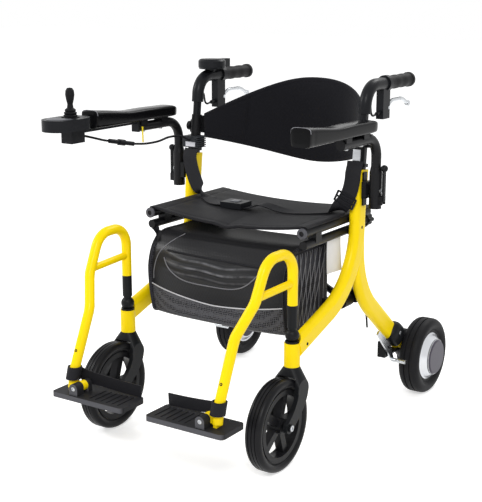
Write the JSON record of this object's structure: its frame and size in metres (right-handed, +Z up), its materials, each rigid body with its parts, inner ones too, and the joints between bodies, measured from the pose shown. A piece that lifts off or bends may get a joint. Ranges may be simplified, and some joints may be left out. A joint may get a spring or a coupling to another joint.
{
  "type": "rollator transport chair",
  "caption": "Powered rollator that is also a transport chair: yellow side frames, folding brace, hub-motor rear wheels, casters, swing-away footrests, flip-up armrests and joystick.",
  "frame": {"origin": "on the floor under the middle of the overall box", "axes": "+Z up, the passenger faces -Y, -X is the passenger's right"},
  "size_m": [0.62, 0.898, 0.812],
  "materials": {
    "yellow_paint": "gloss paint",
    "black_paint": "satin paint",
    "silver_aluminium": "machined",
    "tyre": "matte",
    "caster_rubber": "matte",
    "bright_steel": "bright",
    "black_nylon": "satin",
    "dark_plastic": "satin",
    "grey_plastic": "satin",
    "grey_aluminium": "anodised",
    "grip_rubber": "matte",
    "pad_skin": "gloss",
    "fabric": "woven",
    "webbing": "woven",
    "yellow_tie": "satin"
  },
  "bodies": {
    "frame_r": {"side_frame_r": "yellow_paint", "rails_r": "black_paint", "motor_mount_r": "black_paint", "swing_post_r": "black_nylon", "upright_sleeve_r": "black_paint", "arm_bracket_r": "black_paint", "backrest": "fabric", "bag": "fabric", "battery": "grey_plastic", "controller_box": "grey_aluminium", "belt_r": "webbing", "belt_buckle": "dark_plastic"},
    "frame_l": {"side_frame_l": "yellow_paint", "rails_l": "black_paint", "motor_mount_l": "black_paint", "swing_post_l": "black_nylon", "upright_sleeve_l": "black_paint", "arm_bracket_l": "black_paint", "belt_l": "webbing"},
    "brace_a": {"brace_a": "black_paint"},
    "brace_b": {"brace_b": "black_paint", "seat_sling": "fabric"},
    "armrest_r": {"armrest_tube_r": "black_paint", "armrest_pad_r": "pad_skin", "joystick_pod": "dark_plastic", "joystick_cable": "grip_rubber", "cable_connector": "dark_plastic", "cable_tie": "yellow_tie"},
    "armrest_l": {"armrest_tube_l": "black_paint", "armrest_pad_l": "pad_skin"},
    "handle_r": {"handle_elbow_r": "black_paint", "handle_grip_r": "grip_rubber", "control_puck": "dark_plastic"},
    "handle_l": {"handle_elbow_l": "black_paint", "handle_grip_l": "grip_rubber"},
    "joystick_gimbal": {"joystick_gimbal": "bright_steel"},
    "joystick_knob": {"joystick_knob": "grip_rubber"},
    "hub_r": {"hub_shell_r": "silver_aluminium", "hub_tyre_r": "tyre"},
    "brake_arm_r": {"brake_arm_r": "bright_steel"},
    "caster_fork_r": {"caster_fork_r": "black_nylon"},
    "caster_wheel_r": {"caster_wheel_r": "caster_rubber"},
    "hanger_r": {"hanger_r": "yellow_paint", "heel_band_r": "webbing"},
    "footplate_r": {"footplate_r": "dark_plastic"},
    "brake_lever_r": {"brake_lever_r": "bright_steel"},
    "height_knob_r": {"height_knob_r": "black_nylon"},
    "armrest_latch_r": {"armrest_latch_r": "black_nylon"},
    "hub_l": {"hub_shell_l": "silver_aluminium", "hub_tyre_l": "tyre"},
    "brake_arm_l": {"brake_arm_l": "bright_steel"},
    "caster_fork_l": {"caster_fork_l": "black_nylon"},
    "caster_wheel_l": {"caster_wheel_l": "caster_rubber"},
    "hanger_l": {"hanger_l": "yellow_paint", "heel_band_l": "webbing"},
    "footplate_l": {"footplate_l": "dark_plastic"},
    "brake_lever_l": {"brake_lever_l": "bright_steel"},
    "height_knob_l": {"height_knob_l": "black_nylon"},
    "armrest_latch_l": {"armrest_latch_l": "black_nylon"}
  },
  "joints": [
    {"name": "fold", "type": "hinge", "parent": "frame_r", "child": "brace_a", "pos_m": [-0.195, 0.064, 0.285], "axis": [0, -1, 0], "range_deg": [0, 50], "deforming": ["seat_sling", "backrest", "bag", "belt_r", "belt_l", "belt_buckle"]},
    {"name": "cross", "type": "hinge", "parent": "brace_a", "child": "brace_b", "pos_m": [0, 0.075, 0.353], "axis": [0, -1, 0], "range_deg": [-100, 0]},
    {"name": "fold_left", "type": "hinge", "parent": "brace_b", "child": "frame_l", "pos_m": [0.195, 0.086, 0.285], "axis": [0, -1, 0], "range_deg": [0, 50]},
    {"name": "footplate_flip_r", "type": "hinge", "parent": "hanger_r", "child": "footplate_r", "pos_m": [-0.164, -0.415, 0.159], "axis": [0, -1, 0], "range_deg": [0, 96], "deforming": ["heel_band_r"]},
    {"name": "hanger_swing_r", "type": "hinge", "parent": "frame_r", "child": "hanger_r", "pos_m": [-0.22, -0.189, 0.344], "axis": [0, 0, -1], "range_deg": [0, 90]},
    {"name": "caster_swivel_r", "type": "hinge", "parent": "frame_r", "child": "caster_fork_r", "pos_m": [-0.22, -0.189, 0.235], "axis": [0, 0, -1], "continuous": true},
    {"name": "caster_spin_r", "type": "hinge", "parent": "caster_fork_r", "child": "caster_wheel_r", "pos_m": [-0.22, -0.247, 0.099], "axis": [1, 0, 0], "continuous": true},
    {"name": "hub_spin_r", "type": "hinge", "parent": "frame_r", "child": "hub_r", "pos_m": [-0.271, 0.356, 0.093], "axis": [1, 0, 0], "continuous": true},
    {"name": "armrest_flip_r", "type": "hinge", "parent": "frame_r", "child": "armrest_r", "pos_m": [-0.268, 0.079, 0.549], "axis": [-1, 0, 0], "range_deg": [0, 90], "deforming": ["joystick_cable"]},
    {"name": "armrest_latch_r", "type": "hinge", "parent": "armrest_r", "child": "armrest_latch_r", "pos_m": [-0.285, 0.079, 0.528], "axis": [0, -1, 0], "range_deg": [0, 15], "stiffness_Nm_per_rad": 0.3},
    {"name": "handle_height_r", "type": "slide", "parent": "frame_r", "child": "handle_r", "axis": [0, 0.1045, 0.9945], "range_m": [0, 0.09]},
    {"name": "height_knob_r", "type": "hinge", "parent": "frame_r", "child": "height_knob_r", "pos_m": [-0.226, 0.11, 0.471], "axis": [0, 1, 0], "continuous": true},
    {"name": "brake_lever_r", "type": "hinge", "parent": "handle_r", "child": "brake_lever_r", "pos_m": [-0.226, 0.202, 0.717], "axis": [1, 0, 0], "range_deg": [0, 12.5], "stiffness_Nm_per_rad": 1.5},
    {"name": "brake_arm_r", "type": "hinge", "parent": "frame_r", "child": "brake_arm_r", "pos_m": [-0.245, 0.222, 0.143], "axis": [1, 0, 0], "range_deg": [0, 26]},
    {"name": "footplate_flip_l", "type": "hinge", "parent": "hanger_l", "child": "footplate_l", "pos_m": [0.164, -0.415, 0.159], "axis": [0, 1, 0], "range_deg": [0, 96], "deforming": ["heel_band_l"]},
    {"name": "hanger_swing_l", "type": "hinge", "parent": "frame_l", "child": "hanger_l", "pos_m": [0.22, -0.189, 0.344], "axis": [0, 0, 1], "range_deg": [0, 90]},
    {"name": "caster_swivel_l", "type": "hinge", "parent": "frame_l", "child": "caster_fork_l", "pos_m": [0.22, -0.189, 0.235], "axis": [0, 0, 1], "continuous": true},
    {"name": "caster_spin_l", "type": "hinge", "parent": "caster_fork_l", "child": "caster_wheel_l", "pos_m": [0.22, -0.247, 0.099], "axis": [1, 0, 0], "continuous": true},
    {"name": "hub_spin_l", "type": "hinge", "parent": "frame_l", "child": "hub_l", "pos_m": [0.271, 0.356, 0.093], "axis": [1, 0, 0], "continuous": true},
    {"name": "armrest_flip_l", "type": "hinge", "parent": "frame_l", "child": "armrest_l", "pos_m": [0.268, 0.079, 0.549], "axis": [-1, 0, 0], "range_deg": [0, 90]},
    {"name": "armrest_latch_l", "type": "hinge", "parent": "armrest_l", "child": "armrest_latch_l", "pos_m": [0.285, 0.079, 0.528], "axis": [0, 1, 0], "range_deg": [0, 15], "stiffness_Nm_per_rad": 0.3},
    {"name": "handle_height_l", "type": "slide", "parent": "frame_l", "child": "handle_l", "axis": [0, 0.1045, 0.9945], "range_m": [0, 0.09]},
    {"name": "height_knob_l", "type": "hinge", "parent": "frame_l", "child": "height_knob_l", "pos_m": [0.226, 0.11, 0.471], "axis": [0, 1, 0], "continuous": true},
    {"name": "brake_lever_l", "type": "hinge", "parent": "handle_l", "child": "brake_lever_l", "pos_m": [0.226, 0.202, 0.717], "axis": [1, 0, 0], "range_deg": [0, 12.5], "stiffness_Nm_per_rad": 1.5},
    {"name": "brake_arm_l", "type": "hinge", "parent": "frame_l", "child": "brake_arm_l", "pos_m": [0.245, 0.222, 0.143], "axis": [1, 0, 0], "range_deg": [0, 26]},
    {"name": "joystick_fore", "type": "hinge", "parent": "armrest_r", "child": "joystick_gimbal", "pos_m": [-0.268, -0.307, 0.705], "axis": [1, 0, 0], "range_deg": [-15, 15], "stiffness_Nm_per_rad": 0.15},
    {"name": "joystick_side", "type": "hinge", "parent": "joystick_gimbal", "child": "joystick_knob", "pos_m": [-0.268, -0.307, 0.705], "axis": [0, 1, 0], "range_deg": [-15, 15], "stiffness_Nm_per_rad": 0.15}
  ],
  "couplings": [
    {"joint": "cross", "follows": "fold", "ratio": -2},
    {"joint": "fold_left", "follows": "fold", "ratio": 1},
    {"joint": "footplate_flip_r", "follows": "fold", "ratio": 1.92},
    {"joint": "brake_arm_r", "follows": "brake_lever_r", "ratio": 2.08},
    {"joint": "footplate_flip_l", "follows": "fold", "ratio": 1.92},
    {"joint": "brake_arm_l", "follows": "brake_lever_l", "ratio": 2.08}
  ]
}
